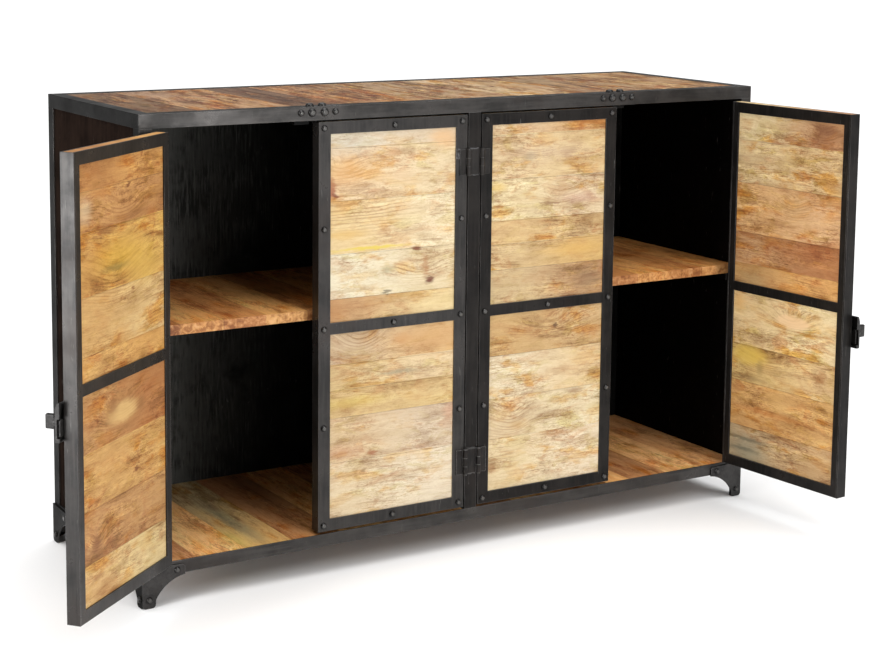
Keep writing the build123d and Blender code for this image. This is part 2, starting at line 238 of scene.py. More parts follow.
def plank_tones(g, along, across, planks, end, gain):
    """The planks' tone, a number of each plank's own, and how far across its plank a point is."""
    near, far, last = end
    first = planks[0][0]
    share = g.span(across, first, last, smooth=False)
    stops = [(max(0.0, (edge - first) / (last - first)), a, b) for edge, a, b in planks]
    near_tone = g.steps(share, [(p, rgb(a, gain)) for p, a, b in stops])
    far_tone = g.steps(share, [(p, rgb(b, gain)) for p, a, b in stops])
    seeds = [(n * GOLDEN + SEED_START) % 1 for n in range(len(stops))]
    seed = g.steps(share, [(stop[0], grey(value)) for stop, value in zip(stops, seeds)])
    lower_edge = g.steps(share, [(p, grey(p)) for p, a, b in stops])
    past_edge = g.math("MULTIPLY", g.math("SUBTRACT", share, lower_edge), last - first)
    return g.mix(g.span(along, near, far), near_tone, far_tone), seed, past_edge


def grain_line(g, local, along, across, seed, eyes):
    """The line that each streak of grain follows, in metres across, and how near an eye it is."""
    along_low = g.math("MULTIPLY_ADD", along, 3.2, g.math("MULTIPLY", seed, 41.0))
    wander = g.noise(g.join(along_low, g.math("MULTIPLY", across, 9.0), seed), detail=2.0)
    line = g.math("MULTIPLY_ADD", g.math("SUBTRACT", wander, 0.5), WANDER, across)
    near_eye = 0.0
    for x, z, half_x, half_z, rise in eyes:
        offset = g.vector("SUBTRACT", local, (x, 0, z))
        flat = g.vector("MULTIPLY", offset, (1 / half_x, 0, 1 / half_z))
        falloff = g.span(g.vector("LENGTH", flat), 0.0, 1.5)
        line = g.math("MULTIPLY_ADD", falloff, -0.7 * rise, line)
        near_eye = g.math("SUBTRACT", g.math("ADD", near_eye, 1.0), falloff)
    return line, near_eye


def add_stains(g, colour, local, noises, blobs, gain):
    """Stains and knots, their edges frayed along the grain."""
    streaks = noises["streaks"]
    fray = g.join(
        g.math("MULTIPLY", g.math("SUBTRACT", streaks, 0.5), 0.035),
        0.0,
        g.math("MULTIPLY", g.math("SUBTRACT", noises["curl"], 0.5), 0.014),
    )
    frayed = g.vector("ADD", local, fray)
    for x, z, half_x, half_z, text, strength, soft in blobs:
        offset = g.vector("SUBTRACT", frayed, (x, 0, z))
        flat = g.vector("MULTIPLY", offset, (1 / half_x, 0, 1 / half_z))
        here = g.span(g.vector("LENGTH", flat), 1 + soft, max(0.0, 1 - soft), 0.0, strength)
        stained = g.math("MULTIPLY", here, g.span(streaks, 0.25, 0.60, 0.78, 1.0))
        colour = g.mix(stained, colour, rgb(text, gain))
    return colour


def wood(
    name,
    place_of,
    planks,
    end,
    blobs=(),
    eyes=(),
    ink=1.0,
    gain=1.0,
    tint=(1, 1, 1),
    edge_strip=None,
):
    """Planks of mango wood with a tone of their own each.

    place_of: gives the coordinates along, through and across the planks.
    planks: (edge across, tone at the near end, tone at the far end) each, from the lowest.
    end: where along the planks the near and the far tone are, and the last plank's upper edge.
    blobs: (along, across, half length, half height, colour, strength, softness) each.
    eyes: (along, across, half length, half height, rise) each: grain flows round them.
    ink: how strong the figure is. gain and tint: what the tones and the whole are multiplied by.
    edge_strip: (along, shade): the end grain lies nearer than along, and shade is its brightness.
    """
    g = Graph(name)
    local = place_of(g)
    along, _, across = g.split(local)[:3]
    colour, seed, past_edge = plank_tones(g, along, across, planks, end, gain)
    line, near_eye = grain_line(g, local, along, across, seed, eyes)
    shift = g.math("MULTIPLY", seed, 17.0)

    def grain(along_scale, across_scale, over, depth, moved=0.0, **kind):
        drawn_out = g.math("MULTIPLY_ADD", along, along_scale, moved)
        return g.noise(g.join(drawn_out, g.math("MULTIPLY", over, across_scale), depth), **kind)

    noises = {
        "broad": grain(7.0, 55.0, line, shift, shift, detail=4.0),
        "streaks": grain(17.0, 260.0, line, shift, shift, detail=4.0, roughness=0.68),
        "fine": grain(60.0, 820.0, line, shift, shift, detail=3.0, roughness=0.6),
        "patch": grain(13.0, 30.0, line, shift, shift, detail=4.0, roughness=0.6),
        "curl": grain(34.0, 95.0, across, shift, detail=3.0, distortion=1.4),
        "hue": grain(16.0, 38.0, across, seed, detail=4.0, roughness=0.6, distortion=0.8),
        "fleck": grain(230.0, 520.0, line, shift, detail=2.0),
        "pores": grain(130.0, 1500.0, line, shift, detail=1.0),
    }

    # Calm and busy places in each plank; end grain is calm
    calm = grain(7.0, 17.0, across, seed, detail=2.0)
    busy = g.math("MULTIPLY", g.span(calm, 0.38, 0.62, 0.40, 1.30), ink)
    if edge_strip is not None:
        strip_end, shade = edge_strip
        on_strip = g.span(along, strip_end, strip_end - 0.0002)
        busy = g.math("MULTIPLY", busy, g.math("MULTIPLY_ADD", on_strip, -0.75, 1.0))
    for layer, start, full, most, text, blend in FIGURE:
        shown = g.span(noises[layer], start, full, 0.0, most)
        amount = g.math("MULTIPLY", shown, busy, clamp=True)
        colour = g.mix(amount, colour, rgb(text), blend)

    # Growth rings, in patches and round the eyes
    wave = g.math("MULTIPLY_ADD", line, 880.0, g.math("MULTIPLY", noises["broad"], 14.0))
    ring_here = g.math("ADD", g.span(noises["patch"], 0.48, 0.70, 0.0, 0.5), near_eye, clamp=True)
    ring_dark = g.math("MULTIPLY", g.span(g.math("SINE", wave), 0.1, 0.9, 0.0, 0.42), ring_here)
    colour = g.mix(ring_dark, colour, rgb("b08c62"), "MULTIPLY")

    colour = add_stains(g, colour, local, noises, blobs, gain)
    seam = g.span(past_edge, SEAM, SEAM_CORE, 0.0, 0.45)
    colour = g.mix(seam, colour, rgb("6a4a30"), "MULTIPLY")

    if edge_strip is not None:
        mottle = g.noise(local, 85.0, 4.0, 0.65, 0.5)
        strip = g.mix(1.0, colour, grey(shade), "MULTIPLY")
        strip = g.mix(g.span(mottle, 0.56, 0.36, 0.0, 0.75), strip, rgb("a98a6c"), "MULTIPLY")
        strip = g.mix(g.span(mottle, 0.52, 0.68, 0.0, 0.45), strip, rgb("d2ae80"))
        colour = g.mix(on_strip, colour, strip)
    colour = g.mix(1.0, colour, (*tint, 1), "MULTIPLY")
    # Faces turned down get a painted shade, about a third as bright
    down = g.split(g.node("NewGeometry").outputs["True Normal"])[2]
    underside_shade = g.mix(1.0, colour, (0.30, 0.32, 0.34, 1), "MULTIPLY")
    colour = g.mix(g.span(down, -0.5, -0.9), colour, underside_shade)

    streaks = noises["streaks"]
    height = g.math("MULTIPLY_ADD", noises["fine"], 0.6, g.math("MULTIPLY", streaks, 0.5))
    g.set(
        Base_Color=colour,
        Roughness=g.span(streaks, 0.2, 0.8, WOOD_ROUGH + 0.1, WOOD_ROUGH - 0.06),
        Normal=g.bump(height, 0.18, 0.0005),
    )
    g.surface.inputs["Specular IOR Level"].default_value = 0.3
    return g.material


# ---- Iron ----

FRONT = (0, -1, 0)
EDGE_WEAR_AND_HIGHLIGHT = 0.0012
FAR_SHADE = 0.06
INNER_SHADE = 0.2


def iron(
    name,
    tones,
    metal,
    rough,
    wear_and_highlight,
    stripe=(1, 1, 1),
    pitted=0.3,
    gloss=0.5,
    painted_shade=False,
    shade_span=None,
    inside=None,
    crowns=(),
):
    """Aged iron: mottled, faintly striped along stripe, its edges painted brighter, partly as
    worn metal and partly as a painted highlight.

    tones: the dark one, the light one and the rust.
    dull: faces turned up or to the cabinet's left get a painted shade: they are blacker and
    hardly shine.
    fade: the x where a painted shade begins to darken the sheet beyond its greyer end and the x
    where it is black.
    inside: an axis and the sign of the normal there on the face that gets a painted shade, a
    darker tone.
    crowns: the ways that rivet heads face; their sides get a painted shadow ring and their crowns
    are painted bright, partly as worn metal and partly as a painted highlight.
    """
    dark, light, rust = tones
    g = Graph(name)
    place = g.place()
    cloud = g.noise(place, 14.0, 5.0, 0.62)
    bars = g.vector("MULTIPLY", place, stripe)
    streak = g.noise(bars, 190.0, 4.0, 0.62)
    grit = g.noise(place, 900.0, 3.0, 0.6)
    stain = g.noise(place, 6.0, 5.0, 0.65, 0.6)
    colour = g.mix(g.span(cloud, 0.34, 0.68), rgb(dark), rgb(light))
    colour = g.mix(g.span(streak, 0.45, 0.68, 0.0, 0.75), colour, rgb(light))
    colour = g.mix(g.span(streak, 0.46, 0.28, 0.0, 0.60), colour, rgb(dark, 0.45))
    colour = g.mix(g.span(stain, 0.50, 0.74, 0.0, 0.70), colour, rgb(rust))
    # Painted shade: the sheet darkens along x, the edge of the shade blurred by the cloud noise
    if shade_span is not None:
        shade_reach = g.math("MULTIPLY_ADD", g.math("SUBTRACT", cloud, 0.5), 0.5, g.split(place)[0])
        black = g.mix(1.0, colour, grey(FAR_SHADE), "MULTIPLY")
        colour = g.mix(g.span(shade_reach, *shade_span), colour, black)

    rounded = g.node("Bevel", {"Radius": EDGE_WEAR_AND_HIGHLIGHT}, samples=4).outputs[0]
    true_normal = g.node("NewGeometry").outputs["True Normal"]
    bend = g.vector("DOT_PRODUCT", rounded, true_normal)
    # Edges painted light grey: partly worn metal, partly a painted highlight along them
    worn_and_highlit = g.math("MULTIPLY", g.span(bend, 0.995, 0.90), g.span(stain, 0.36, 0.62, 0.25, 1.0))
    colour = g.mix(g.math("MULTIPLY", worn_and_highlit, wear_and_highlight), colour, rgb("9a9896"))

    facing = g.split(true_normal)
    # Painted shade on one face of a sheet
    if inside is not None:
        axis, sign = inside
        black = g.mix(1.0, colour, grey(INNER_SHADE), "MULTIPLY")
        colour = g.mix(g.span(facing[axis], 0.5 * sign, 0.9 * sign), colour, black)
    # Painted shade: faces turned up or to the cabinet's left are made near black
    if painted_shade:
        leftward = g.span(facing[0], -0.7, -0.9)
        painted_shade_face = g.math("ADD", leftward, g.span(facing[2], 0.7, 0.9, 0.0, 0.8), clamp=True)
        colour = g.mix(painted_shade_face, colour, rgb("0a0908"))
    if crowns:
        normal = g.node("TexCoord").outputs["Normal"]
        up = 0.0
        for way in crowns:
            up = g.math("MAXIMUM", up, g.vector("DOT_PRODUCT", normal, way))
        # Painted shadow ring round each rivet head, then its crown painted bright: worn metal and
        # a painted highlight
        colour = g.mix(g.span(up, 0.90, 0.55, 0.0, 0.8), colour, rgb("080707"))
        colour = g.mix(g.span(up, 0.96, 0.999, 0.0, 0.55), colour, rgb("5c5a57"))
    scratch = g.noise(g.vector("MULTIPLY", place, (260, 260, 31)), 1.0, 2.0, 0.5, 1.2)
    colour = g.mix(g.span(scratch, 0.70, 0.76, 0.0, 0.22), colour, rgb("85837f"))

    rough_here = g.span(cloud, 0.25, 0.75, rough + 0.12, rough - 0.1)
    height = g.math("MULTIPLY_ADD", grit, 0.5, g.math("MULTIPLY", cloud, 2.0 * pitted))
    g.set(
        Base_Color=colour,
        Roughness=g.math("MULTIPLY_ADD", worn_and_highlit, -0.12, rough_here),
        Normal=g.bump(height, 0.35 * pitted + 0.08, 0.0006, rounded),
    )
    g.surface.inputs["Metallic"].default_value = metal
    g.surface.inputs["Specular IOR Level"].default_value = gloss
    # The same painted shade takes most of their shine away
    if painted_shade:
        g.set(Specular_IOR_Level=g.math("MULTIPLY_ADD", painted_shade_face, -0.95 * gloss, gloss))
        g.set(Metallic=g.math("MULTIPLY_ADD", painted_shade_face, -metal, metal))
    return g.material


frame_iron = iron(
    "frame_iron",
    ("1b1917", "3a3735", "2c241f"),
    metal=0.45,
    rough=0.34,
    wear_and_highlight=0.5,
    stripe=(0.05, 0.6, 0.6),
    painted_shade=True,
)
post_iron = iron(
    "post_iron",
    ("1b1917", "363331", "2c241f"),
    metal=0.45,
    rough=0.34,
    wear_and_highlight=0.5,
    stripe=(1, 1, 0.05),
    painted_shade=True,
)
door_iron = iron(
    "door_iron",
    ("171514", "302d2b", "2a221e"),
    metal=0.35,
    rough=0.33,
    wear_and_highlight=0.45,
    stripe=(1, 1, 0.06),
    gloss=0.4,
)
# The mullion's and the right-hand doors' irons are darker, less glossy copies of the rest:
# painted shade
mullion_iron = iron(
    "mullion_iron",
    ("100e0d", "211e1c", "1f1916"),
    metal=0.15,
    rough=0.40,
    wear_and_highlight=0.6,
    stripe=(1, 1, 0.04),
    gloss=0.14,
)
shaded_door_iron = iron(
    "shaded_door_iron",
    ("0e0d0c", "211e1c", "1f1916"),
    metal=0.15,
    rough=0.36,
    wear_and_highlight=0.5,
    stripe=(1, 1, 0.06),
    gloss=0.14,
)
left_sheet = iron(
    "left_sheet",
    ("130e0c", "201814", "17110e"),
    metal=0.0,
    rough=0.55,
    wear_and_highlight=0.1,
    stripe=(1, 1, 0.02),
    gloss=0.0,
    inside=(0, 1),
)
back_sheet = iron(
    "back_sheet",
    ("2e2f2d", "666764", "2c2b28"),
    metal=0.0,
    rough=0.55,
    wear_and_highlight=0.1,
    stripe=(1, 1, 0.1),
    gloss=0.05,
    shade_span=(cabinet_left + 0.16, cabinet_left + 0.53),
    inside=(1, 1),
)
right_sheet = iron(
    "right_sheet",
    ("0c0908", "1a1412", "120e0c"),
    metal=0.0,
    rough=0.55,
    wear_and_highlight=0.1,
    stripe=(1, 1, 0.02),
    gloss=0.03,
    inside=(0, -1),
)
# Near black, for the catches and the partition inside the cabinet: painted shade
shade_black_sheet = iron(
    "shade_black_sheet",
    ("020202", "070707", "060505"),
    metal=0.0,
    rough=0.6,
    wear_and_highlight=0.1,
    stripe=(1, 1, 0.04),
    gloss=0.05,
)
cast_iron = iron(
    "cast_iron",
    ("191716", "373534", "261e1a"),
    metal=0.4,
    rough=0.38,
    wear_and_highlight=0.45,
    pitted=0.9,
    painted_shade=True,
)
hinge_iron = iron(
    "hinge_iron",
    ("131110", "292624", "241d19"),
    metal=0.2,
    rough=0.38,
    wear_and_highlight=0.8,
    stripe=(1, 1, 0.3),
    pitted=0.4,
    gloss=0.2,
)
# The magnets' casings are near black: painted shade
magnet = iron(
    "magnet_casing",
    ("080808", "101010", "0d0c0c"),
    metal=0.0,
    rough=0.6,
    wear_and_highlight=0.1,
    gloss=0.1,
)


def rivet_iron(name, ways):
    return iron(
        name,
        ("191817", "353433", "241d19"),
        metal=0.55,
        rough=0.25,
        wear_and_highlight=0.1,
        pitted=0.1,
        crowns=ways,
    )


rivet_irons = {}
for door_name, door in DOORS.items():
    front = Matrix.Rotation(math.radians(door["turn"]), 3, "Z") @ Vector(FRONT)
    rivet_irons[door_name] = rivet_iron(f"{door_name}_rivet_iron", (front,))
cabinet_rivet_iron = rivet_iron(
    "rivet_iron", (FRONT, (0, 0, 1), (-1, 0, 0), (1, 0, 0), (0, 1, 0))
)


# ---- Planks of each door ----


def door_edges(shares_low, shares_high):
    """Heights of the planks' lower edges, from their shares of each panel."""
    edges = []
    half = (door_high.z - door_low.z) / 2
    for start, shares in ((door_low.z, shares_low), (door_middle_z, shares_high)):
        reached = start
        for value in shares:
            edges.append(reached)
            reached += value * half
    return edges


# The planks' shares of the lower and the upper panel, then each plank's tone beside the hinge
# and at the free edge, all from the lowest plank up
DOOR_WOOD = {
    "left_door": (
        ((0.233, 0.23, 0.25, 0.287), (0.13, 0.25, 0.27, 0.175, 0.175)),
        (
            ("dcc493", "d9b47c"),
            ("bd9160", "b88a5a"),
            ("cea266", "cb9f64"),
            ("b07a4c", "c0925f"),
            ("cb9a5c", "c99c62"),
            ("d6b683", "c9a068"),
            ("cda35f", "c49556"),
            ("b98857", "c2925e"),
            ("cc9a5e", "b37f4c"),
        ),
    ),
    "centre_left_door": (
        ((0.33, 0.223, 0.137, 0.125, 0.185), (0.14, 0.215, 0.26, 0.255, 0.13)),
        (
            ("ebd4b4", "e6caa2"),
            ("dabfa0", "dcbb90"),
            ("dcb980", "d5b079"),
            ("e8c99c", "d1ae79"),
            ("d9af7a", "d0b08a"),
            ("e4c58f", "c89a69"),
            ("e4caa0", "ebd8b6"),
            ("efd5ac", "e6c48f"),
            ("e5c99f", "e6c297"),
            ("dabf9e", "dfcbae"),
        ),
    ),
    "centre_right_door": (
        ((0.325, 0.212, 0.22, 0.243), (0.2, 0.13, 0.12, 0.21, 0.225, 0.115)),
        (
            ("e5ca9f", "ead2b2"),
            ("dabd96", "e6d0aa"),
            ("e6d0ae", "dfbf92"),
            ("caa26d", "cda878"),
            ("ceb084", "b68c63"),
            ("d9b98a", "cda468"),
            ("d4af7c", "cdab7b"),
            ("e3ca9e", "dabe99"),
            ("ddbf95", "d8b787"),
            ("ddbf98", "c2915f"),
        ),
    ),
    "right_door": (
        ((0.234, 0.25, 0.2, 0.316), (0.13, 0.17, 0.27, 0.23, 0.2)),
        (
            ("a98a66", "b68d61"),
            ("c28f58", "c4935b"),
            ("c59e64", "c8a070"),
            ("d3ae7d", "d6b688"),
            ("b08150", "cc9358"),
            ("b08158", "a56c43"),
            ("c49362", "c6966a"),
            ("c7a478", "c39d6f"),
            ("d4b689", "a87650"),
        ),
    ),
}

DOOR_INK = {
    "left_door": 0.9,
    "centre_left_door": 0.65,
    "centre_right_door": 0.85,
    "right_door": 0.95,
}
# What each door's whole wood is multiplied by. With the tones above, it keeps the left door
# darker than the centre doors: painted shade
DOOR_TINT = {
    "left_door": (0.84, 0.84, 0.80),
    "centre_left_door": (0.78, 0.84, 0.89),
    "centre_right_door": (0.79, 0.84, 0.86),
    "right_door": (1.02, 1.16, 1.26),
}

# (along from the hinge, up, half length, half height, colour, strength, softness), and the eyes
# the grain flows round: (along, up, half length, half height, rise)
DOOR_MARKS = {
    "left_door": (
        (
            (0.168, 0.414, 0.066, 0.030, "a67547", 0.55, 0.35),
            (0.172, 0.411, 0.048, 0.018, "d9b478", 0.8, 0.45),
            (0.108, 0.410, 0.014, 0.010, "8d5f38", 0.6, 0.7),
            (0.205, 0.425, 0.016, 0.016, "96683f", 0.55, 0.8),
            (0.240, 0.120, 0.045, 0.020, "a9713a", 0.45, 0.9),
            (0.210, 0.108, 0.022, 0.006, "8b5a2e", 0.7, 0.6),
            (0.262, 0.148, 0.018, 0.006, "8f5c30", 0.6, 0.6),
            (0.265, 0.205, 0.016, 0.012, "7c4a2c", 0.75, 0.6),
            (0.126, 0.298, 0.006, 0.004, "7d4a2b", 0.9, 0.4),
            (0.145, 0.795, 0.006, 0.005, "7a4a2c", 0.9, 0.4),
            (0.120, 0.742, 0.060, 0.010, "8a5a34", 0.6, 0.9),
            (0.225, 0.728, 0.030, 0.009, "815230", 0.65, 0.8),
            (0.060, 0.732, 0.018, 0.014, "b06a35", 0.5, 0.8),
            (0.175, 0.680, 0.070, 0.028, "d3a83e", 0.55, 0.9),
            (0.090, 0.650, 0.050, 0.030, "cfa94a", 0.4, 0.9),
            (0.190, 0.662, 0.040, 0.006, "7d7040", 0.5, 0.8),
            (0.290, 0.770, 0.020, 0.018, "d8bf9c", 0.6, 0.8),
            (0.130, 0.617, 0.005, 0.004, "8a5530", 0.8, 0.5),
        ),
        (
            (0.170, 0.412, 0.075, 0.030, 0.032),
            (0.160, 0.755, 0.070, 0.035, 0.030),
            (0.185, 0.650, 0.110, 0.060, 0.045),
            (0.262, 0.210, 0.035, 0.030, 0.022),
        ),
    ),
    "centre_left_door": (
        (
            (0.300, 0.744, 0.009, 0.022, "9c4c2c", 0.85, 0.5),
            (0.292, 0.728, 0.006, 0.006, "6f2c1c", 0.9, 0.4),
            (0.268, 0.775, 0.050, 0.022, "dda562", 0.6, 0.9),
            (0.300, 0.722, 0.022, 0.006, "c98a3e", 0.7, 0.7),
            (0.052, 0.828, 0.026, 0.018, "e0ab73", 0.7, 0.8),
            (0.260, 0.820, 0.050, 0.016, "c9bca6", 0.5, 0.9),
            (0.215, 0.625, 0.075, 0.003, "e2c34c", 0.85, 0.6),
            (0.270, 0.655, 0.040, 0.008, "ddac5c", 0.6, 0.8),
            (0.112, 0.617, 0.009, 0.005, "7b3a20", 0.9, 0.5),
            (0.092, 0.580, 0.006, 0.022, "a86a3a", 0.6, 0.8),
            (0.082, 0.552, 0.009, 0.006, "6b2f1d", 0.95, 0.5),
            (0.175, 0.580, 0.014, 0.006, "a39b78", 0.6, 0.8),
            (0.177, 0.537, 0.012, 0.003, "7a6a50", 0.8, 0.5),
            (0.298, 0.512, 0.028, 0.024, "b67b48", 0.6, 0.9),
            (0.140, 0.440, 0.020, 0.010, "c98d52", 0.5, 0.9),
            (0.080, 0.435, 0.080, 0.024, "c98f56", 0.5, 0.9),
            (0.150, 0.378, 0.035, 0.004, "9a9478", 0.6, 0.8),
            (0.255, 0.330, 0.060, 0.010, "d2b04e", 0.5, 0.9),
            (0.275, 0.235, 0.040, 0.012, "c98f6a", 0.5, 0.9),
            (0.210, 0.225, 0.010, 0.005, "a05a34", 0.8, 0.6),
            (0.035, 0.285, 0.012, 0.014, "cf9270", 0.5, 0.9),
            (0.225, 0.193, 0.006, 0.003, "9a7a52", 0.7, 0.6),
        ),
        (
            (0.235, 0.455, 0.050, 0.045, 0.040),
            (0.275, 0.775, 0.055, 0.030, 0.024),
            (0.100, 0.580, 0.060, 0.035, 0.020),
            (0.230, 0.690, 0.140, 0.040, 0.014),
        ),
    ),
    "centre_right_door": (
        (
            (0.250, 0.862, 0.055, 0.016, "cd8c4c", 0.7, 0.9),
            (0.118, 0.780, 0.012, 0.008, "8f8068", 0.5, 0.8),
            (0.210, 0.785, 0.016, 0.006, "9a6d48", 0.6, 0.8),
            (0.165, 0.787, 0.090, 0.016, "cdaf92", 0.45, 0.9),
            (0.200, 0.716, 0.014, 0.016, "b98a60", 0.5, 0.9),
            (0.170, 0.683, 0.022, 0.003, "8a6244", 0.7, 0.7),
            (0.240, 0.690, 0.040, 0.010, "d4aa98", 0.4, 0.9),
            (0.040, 0.722, 0.020, 0.008, "e0b55c", 0.6, 0.9),
            (0.230, 0.585, 0.060, 0.010, "dba957", 0.5, 0.9),
            (0.265, 0.520, 0.025, 0.020, "8f7355", 0.6, 0.9),
            (0.187, 0.432, 0.005, 0.004, "5f3a22", 0.9, 0.5),
            (0.237, 0.290, 0.020, 0.005, "9b7350", 0.7, 0.7),
            (0.100, 0.235, 0.020, 0.008, "c99f63", 0.5, 0.9),
            (0.060, 0.262, 0.020, 0.012, "cfa56b", 0.45, 0.9),
            (0.255, 0.205, 0.035, 0.004, "bd8f5e", 0.4, 0.9),
        ),
        (
            (0.175, 0.432, 0.095, 0.026, 0.034),
            (0.080, 0.245, 0.050, 0.050, 0.030),
            (0.195, 0.700, 0.050, 0.030, 0.018),
            (0.130, 0.790, 0.060, 0.022, 0.016),
        ),
    ),
    "right_door": (
        (
            (0.265, 0.832, 0.030, 0.010, "6f4229", 0.75, 0.6),
            (0.250, 0.815, 0.024, 0.014, "7a4a2e", 0.55, 0.8),
            (0.135, 0.792, 0.020, 0.004, "8e5c3a", 0.6, 0.8),
            (0.180, 0.665, 0.030, 0.030, "b9905e", 0.4, 0.9),
            (0.215, 0.575, 0.070, 0.018, "9a5a34", 0.45, 0.9),
            (0.070, 0.500, 0.030, 0.020, "9a7a52", 0.5, 0.9),
            (0.190, 0.425, 0.045, 0.014, "dcae80", 0.8, 0.25),
            (0.070, 0.335, 0.046, 0.020, "cfa344", 0.75, 0.5),
            (0.100, 0.312, 0.008, 0.014, "8a6a3c", 0.6, 0.8),
            (0.060, 0.285, 0.050, 0.004, "7a5a3a", 0.5, 0.8),
            (0.070, 0.125, 0.046, 0.030, "7e7660", 0.6, 0.8),
            (0.065, 0.150, 0.060, 0.004, "4f4a3a", 0.6, 0.7),
            (0.055, 0.128, 0.040, 0.004, "4a4638", 0.6, 0.7),
            (0.240, 0.120, 0.030, 0.012, "96714a", 0.4, 0.9),
            (0.035, 0.445, 0.016, 0.020, "d09550", 0.6, 0.9),
            (0.140, 0.218, 0.110, 0.006, "b2672c", 0.45, 0.9),
        ),
        (
            (0.190, 0.425, 0.075, 0.026, 0.036),
            (0.180, 0.665, 0.045, 0.030, 0.026),
            (0.120, 0.330, 0.060, 0.026, 0.020),
            (0.255, 0.820, 0.045, 0.022, 0.020),
        ),
    ),
}


HINGE_TONE_AT = 0.06
FREE_TONE_AT = 0.27


def signed(marks, hand):
    """Marks at distances from the hinge, in the door's own coordinates."""
    return [(hand * mark[0], *mark[1:]) for mark in marks]


for door_name, door in DOORS.items():
    (low_shares, high_shares), tones = DOOR_WOOD[door_name]
    edges = door_edges(low_shares, high_shares)
    hand = door["hand"]
    blobs, eyes = DOOR_MARKS[door_name]
    near, far = sorted((hand * HINGE_TONE_AT, hand * FREE_TONE_AT))
    planks = []
    for edge, (hinge_tone, free_tone) in zip(edges, tones):
        near_tone, far_tone = (hinge_tone, free_tone)[::hand]
        planks.append((edge, near_tone, far_tone))
    planks_wood = wood(
        f"{door_name}_wood",
        lambda g, door=door: door_place(g, door),
        planks,
        (near, far, door_high.z),
        signed(blobs, hand),
        signed(eyes, hand),
        ink=DOOR_INK[door_name],
        tint=DOOR_TINT[door_name],
    )
    dress(f"{door_name}_planks", planks_wood)


# ---- Boards that run front to back ----


def board_planks(low, high, tones):
    """Boards of equal width: (edge across, tone at the front, tone at the back) each."""
    pitch = (high - low) / len(tones)
    return [(low + n * pitch, front, back) for n, (front, back) in enumerate(tones)]


top_low, top_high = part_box("top_planks")
TOP_TONES = (
    ("8a6c50", "8c7056"),
    ("b8926c", "b8967a"),
    ("c49c74", "c6a07a"),
    ("7c5e46", "806450"),
    ("b88c62", "bd946e"),
    ("bd9468", "ab8a6c"),
    ("c4a47c", "c0a280"),
    ("c9a985", "b89c7c"),
    ("dcc29a", "dcbf9a"),
    ("cfae86", "cbac82"),
    ("ac8a68", "b29672"),
    ("b99a74", "b69472"),
    ("d8b486", "d0af82"),
    ("bb9870", "c39f76"),
)
boards = board_planks(top_low.x, top_high.x, TOP_TONES)
top_wood = wood(
    "top_wood",
    boards_place,
    boards,
    (top_low.y, top_high.y, top_high.x),
    ink=1.9,
    gain=0.68,
)

floor_low, floor_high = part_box("floor_boards")
FLOOR_TONES = (
    ("9a6f4c", "946c4a"),
    ("bb905e", "b48c5c"),
    ("a08050", "86785a"),
    ("8c6440", "866040"),
    ("c0945f", "b88c5a"),
    ("a0764c", "98704a"),
    ("b88e5e", "b08456"),
    ("8e6642", "8a6240"),
    ("c09664", "b88c5a"),
    ("a0744a", "986e46"),
    ("b88a58", "b08252"),
    ("8a6240", "845c3c"),
    ("bc9060", "b48858"),
    ("a87c52", "a0744c"),
)
boards = board_planks(floor_low.x, floor_high.x, FLOOR_TONES)
floor_blobs = [
    (floor_low.y + 0.17, floor_low.x + 0.246, 0.14, 0.016, "4e5646", 0.6, 0.8),
    (floor_low.y + 0.06, floor_low.x + 0.205, 0.05, 0.020, "a4934e", 0.5, 0.9),
]
# A gain of 2 brightens the floor boards: painted light inside the cabinet
floor_wood = wood(
    "floor_wood",
    boards_place,
    boards,
    (floor_low.y, floor_high.y, floor_high.x),
    floor_blobs,
    gain=2.0,
)

SHELF_TONES = (
    ("95643c", "90603b"),
    ("b58651", "ac7d4e"),
    ("a07043", "9a6b41"),
    ("bc8d57", "b08250"),
    ("9b6c41", "96683f"),
    ("b58753", "ac7e4b"),
    ("9e6f42", "97693e"),
    ("b3834f", "a97a49"),
)
# A gain of 2.1 brightens the shelves: painted light inside the cabinet
shelf_woods = {}
for shelf_name in ("left_shelf", "right_shelf"):
    low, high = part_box(shelf_name)
    boards = board_planks(low.x, high.x, SHELF_TONES)
    shelf_woods[shelf_name] = wood(
        f"{shelf_name}_wood",
        boards_place,
        boards,
        (low.y, high.y, high.x),
        gain=2.1,
        tint=(1.0, 0.93, 0.88),
        edge_strip=(low.y + 0.0005, 0.55),
    )

# ---- Every node's material ----

MATERIALS = {
    "top_planks": top_wood,
    "floor_boards": floor_wood,
    "left_shelf": shelf_woods["left_shelf"],
    "right_shelf": shelf_woods["right_shelf"],
    "top_bearers": frame_iron,
    "top_frame": frame_iron,
    "bottom_frame": frame_iron,
    "front_left_post": post_iron,
    "front_right_post": post_iron,
    "back_left_post": post_iron,
    "back_right_post": post_iron,
    "centre_mullion": mullion_iron,
    "shelf_cleats": frame_iron,
    "door_catches": shade_black_sheet,
    "left_side_panel": left_sheet,
    "right_side_panel": right_sheet,
    "back_panel": back_sheet,
    "centre_partition": shade_black_sheet,
    "catch_magnets": magnet,
    "hinge_pins": hinge_iron,
}
for node_name in nodes:
    if node_name.endswith("_planks") and node_name != "top_planks":
        continue
    if node_name in MATERIALS:
        chosen = MATERIALS[node_name]
    elif node_name.endswith("rivets"):
        chosen = rivet_irons.get(node_name.removesuffix("_rivets"), cabinet_rivet_iron)
    elif "hinge" in node_name:
        chosen = hinge_iron
    elif "latch" in node_name or node_name.endswith("foot"):
        chosen = cast_iron
    # The right-hand doors' frames take the door iron with painted shade
    elif node_name.startswith(("centre_right_door", "right_door")):
        chosen = shaded_door_iron
    else:
        chosen = door_iron
    dress(node_name, chosen)


# ---- Weld beads ----

LUMPINESS = 0.12


